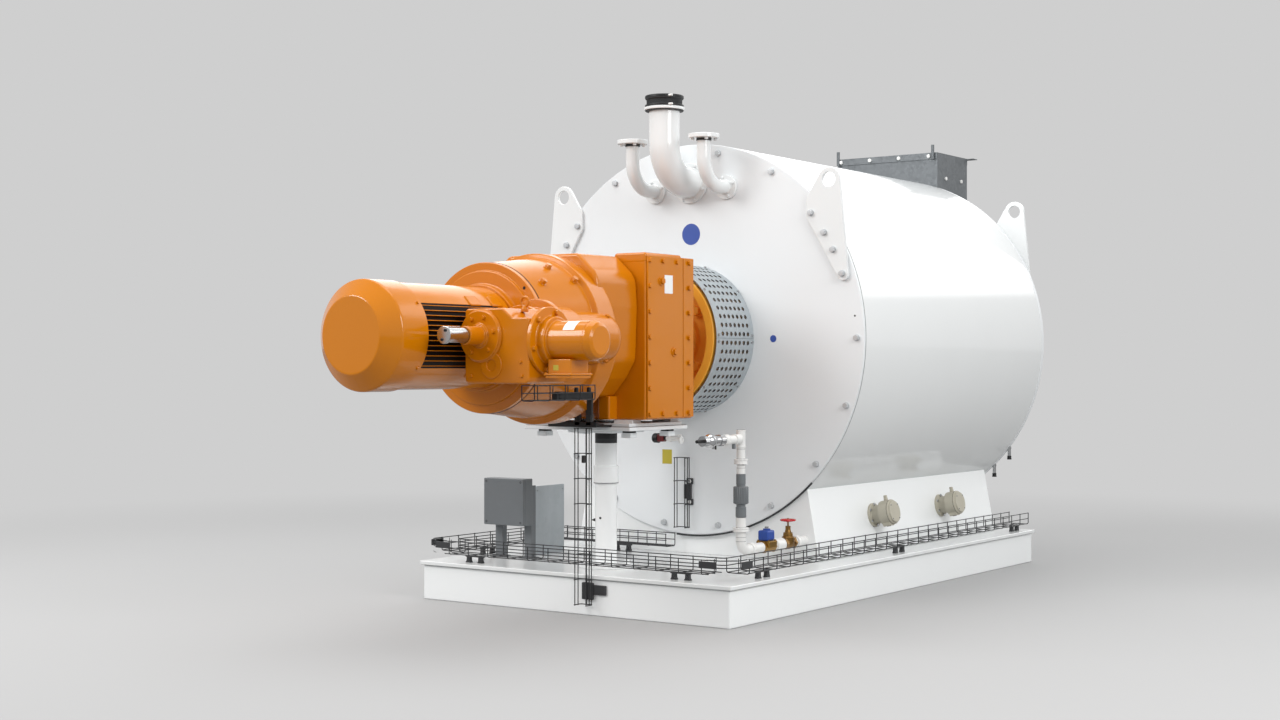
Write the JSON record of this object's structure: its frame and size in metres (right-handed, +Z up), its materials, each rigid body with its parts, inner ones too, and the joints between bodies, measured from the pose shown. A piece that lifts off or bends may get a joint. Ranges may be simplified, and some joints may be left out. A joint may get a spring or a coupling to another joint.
{
  "type": "refiner conche",
  "caption": "Refiner conche: a horizontal drum with end plates on a plinth, geared motor drive, auxiliary drive, water line, heaters, inlet chute and wire cable trays",
  "frame": {"origin": "middle of the plinth's underside, on the floor", "axes": "X across the drum, Y along the drum's axis from the drive at -Y to the inlet chute at +Y, Z up"},
  "size_m": [1.6758, 4.2803, 2.101],
  "materials": {
    "white_paint": "gloss white paint on steel plate",
    "orange_paint": "gloss orange machine paint on cast iron",
    "galvanised_sheet": "plain galvanised sheet steel",
    "bright_steel": "turned bright steel",
    "grey_paint": "satin dark grey powder coat",
    "black_wire": "black coated steel wire and sheet",
    "white_plastic": "white moulded pipe and fittings",
    "grey_plastic": "grey moulded union",
    "chrome": "chromed brass",
    "brass": "cast brass",
    "red_paint": "gloss red paint",
    "beige_paint": "satin beige grey paint",
    "dark_rubber": "dark flexible collar"
  },
  "bodies": {
    "machine": {"plinth": "white_paint", "deck_plate": "white_paint", "drum_cradle": "white_paint", "drum_shell": "white_paint", "front_end_plate": "white_paint", "rear_end_plate": "white_paint", "rear_bearing_cover": "white_paint", "lifting_lugs": "white_paint", "extraction_pipe": "white_paint", "extraction_collar": "dark_rubber", "liquid_pipes": "white_paint", "coupling_guard": "galvanised_sheet", "output_adaptor": "orange_paint", "output_shaft": "orange_paint", "gearbox_block": "orange_paint", "gearbox_side_covers": "orange_paint", "gearbox_barrel": "orange_paint", "motor_bell": "orange_paint", "motor_body": "orange_paint", "motor_fan_cowl": "orange_paint", "aux_gearbox": "orange_paint", "aux_motor": "orange_paint", "aux_terminal_box": "orange_paint", "aux_drive_tube": "orange_paint", "drive_table": "white_paint", "gearbox_feet": "white_paint", "support_column": "white_paint", "junction_box": "grey_paint", "junction_box_posts": "grey_paint", "instrument_panel": "galvanised_sheet", "tray_front": "black_wire", "tray_left": "black_wire", "tray_cross": "black_wire", "tray_right": "black_wire", "tray_corners": "black_wire", "tray_riser": "black_wire", "tray_stub": "black_wire", "tray_end_plate": "black_wire", "tray_feet": "black_wire", "tray_bracket": "black_wire", "tray_clips": "black_wire", "water_pipe": "white_plastic", "riser_union": "grey_plastic", "ball_valve": "chrome", "solenoid_valve": "brass", "gate_valve": "brass", "drain_valve": "white_plastic", "immersion_heaters": "beige_paint", "inlet_chute": "galvanised_sheet", "chute_angles": "galvanised_sheet", "rear_drain_stubs": "bright_steel"},
    "handwheel": {"gate_valve_handwheel": "red_paint"},
    "auxiliary_shaft": {"aux_shaft": "bright_steel"}
  },
  "joints": [
    {"name": "handwheel_turn", "type": "hinge", "parent": "machine", "child": "handwheel", "pos_m": [0.55, -0.633, 0.333], "axis": [0, 0, 1], "continuous": true},
    {"name": "auxiliary_shaft_turn", "type": "hinge", "parent": "machine", "child": "auxiliary_shaft", "pos_m": [0.279, -2.3, 1.066], "axis": [0, 1, 0], "continuous": true}
  ]
}
